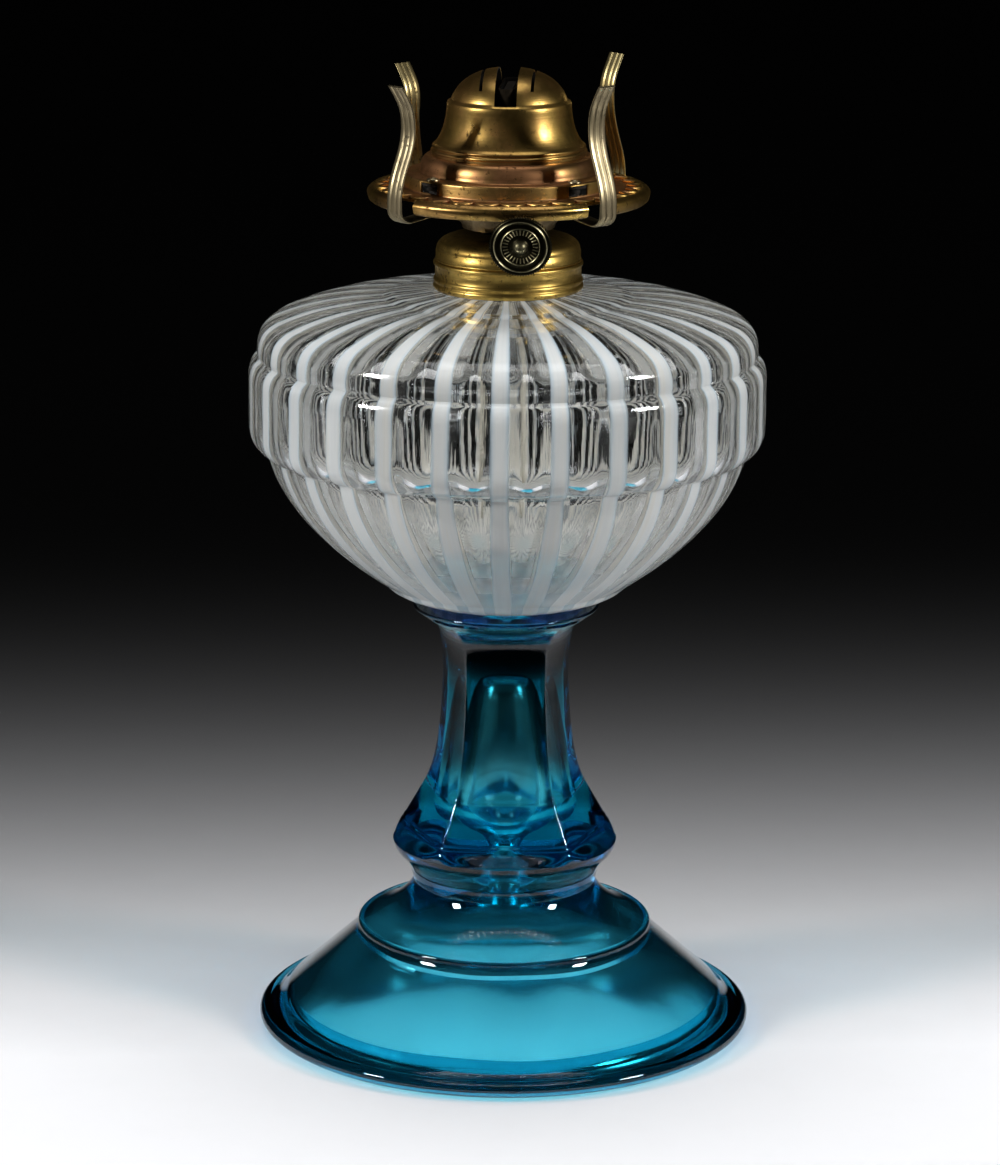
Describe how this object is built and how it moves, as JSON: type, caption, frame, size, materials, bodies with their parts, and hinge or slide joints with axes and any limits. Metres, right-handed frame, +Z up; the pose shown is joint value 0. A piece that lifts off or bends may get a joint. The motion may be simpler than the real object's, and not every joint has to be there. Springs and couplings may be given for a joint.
{
  "type": "kerosene lamp",
  "caption": "Table lamp with a striped glass oil font on a panelled glass foot and a flat wick burner with a slotted deflector and sprung chimney prongs.",
  "frame": {"origin": "centre of the foot's underside, on the table", "axes": "+Z up along the lamp's axis, -Y toward the side of the wick raiser's knob, +X to the right seen from the knob"},
  "size_m": [0.15, 0.15, 0.2858],
  "materials": {
    "blue_glass": "polished",
    "striped_glass": "polished",
    "brass": "polished, with patina",
    "pale_brass": "satin",
    "bronze": "dark, worn bright on the edges",
    "plaster": "matt plaster",
    "cotton": "woven cotton"
  },
  "bodies": {
    "base": {"glass_stand": "blue_glass", "font": "striped_glass", "collar": "brass", "collar_plaster": "plaster"},
    "burner": {"screw_shell": "brass", "burner_cap": "brass", "air_basket": "pale_brass", "wick_tube": "brass", "vent_tube": "brass", "raiser_bracket": "brass", "shaft_sleeve": "brass", "gallery": "brass", "prong_rivets": "pale_brass"},
    "deflector": {"deflector_dome": "brass"},
    "raiser": {"wick_shaft": "bronze", "spur_wheel_front": "brass", "spur_wheel_back": "brass", "thumb_knob": "bronze"},
    "wick": {"wick": "cotton"},
    "prong_right_front": {"prong_right_front": "pale_brass"},
    "prong_left_front": {"prong_left_front": "pale_brass"},
    "prong_left_back": {"prong_left_back": "pale_brass"},
    "prong_right_back": {"prong_right_back": "pale_brass"}
  },
  "joints": [
    {"name": "burner_lift", "type": "slide", "parent": "base", "child": "burner", "axis": [0, 0, 1], "range_m": [0, 0.12]},
    {"name": "deflector_lift", "type": "slide", "parent": "burner", "child": "deflector", "axis": [0, 0, 1], "range_m": [0, 0.03]},
    {"name": "raiser_turn", "type": "hinge", "parent": "burner", "child": "raiser", "pos_m": [0.0064, 0, 0.2512], "axis": [0, 0.9781, 0.2079], "range_deg": [-150, 60]},
    {"name": "wick_slide", "type": "slide", "parent": "burner", "child": "wick", "axis": [0, 0, 1], "range_m": [-0.0117, 0.0046]},
    {"name": "prong_right_front_flex", "type": "hinge", "parent": "burner", "child": "prong_right_front", "pos_m": [0.01916, -0.01916, 0.2551], "axis": [0.7071, 0.7071, 0], "range_deg": [0, 5], "stiffness_Nm_per_rad": 1.6},
    {"name": "prong_left_front_flex", "type": "hinge", "parent": "burner", "child": "prong_left_front", "pos_m": [-0.01916, -0.01916, 0.2551], "axis": [0.7071, -0.7071, 0], "range_deg": [0, 5], "stiffness_Nm_per_rad": 1.6},
    {"name": "prong_left_back_flex", "type": "hinge", "parent": "burner", "child": "prong_left_back", "pos_m": [-0.01916, 0.01916, 0.2551], "axis": [-0.7071, -0.7071, 0], "range_deg": [0, 5], "stiffness_Nm_per_rad": 1.6},
    {"name": "prong_right_back_flex", "type": "hinge", "parent": "burner", "child": "prong_right_back", "pos_m": [0.01916, 0.01916, 0.2551], "axis": [-0.7071, 0.7071, 0], "range_deg": [0, 5], "stiffness_Nm_per_rad": 1.6}
  ],
  "couplings": [
    {"joint": "raiser_turn", "follows": "wick_slide", "rad_per_m": 222.22}
  ]
}
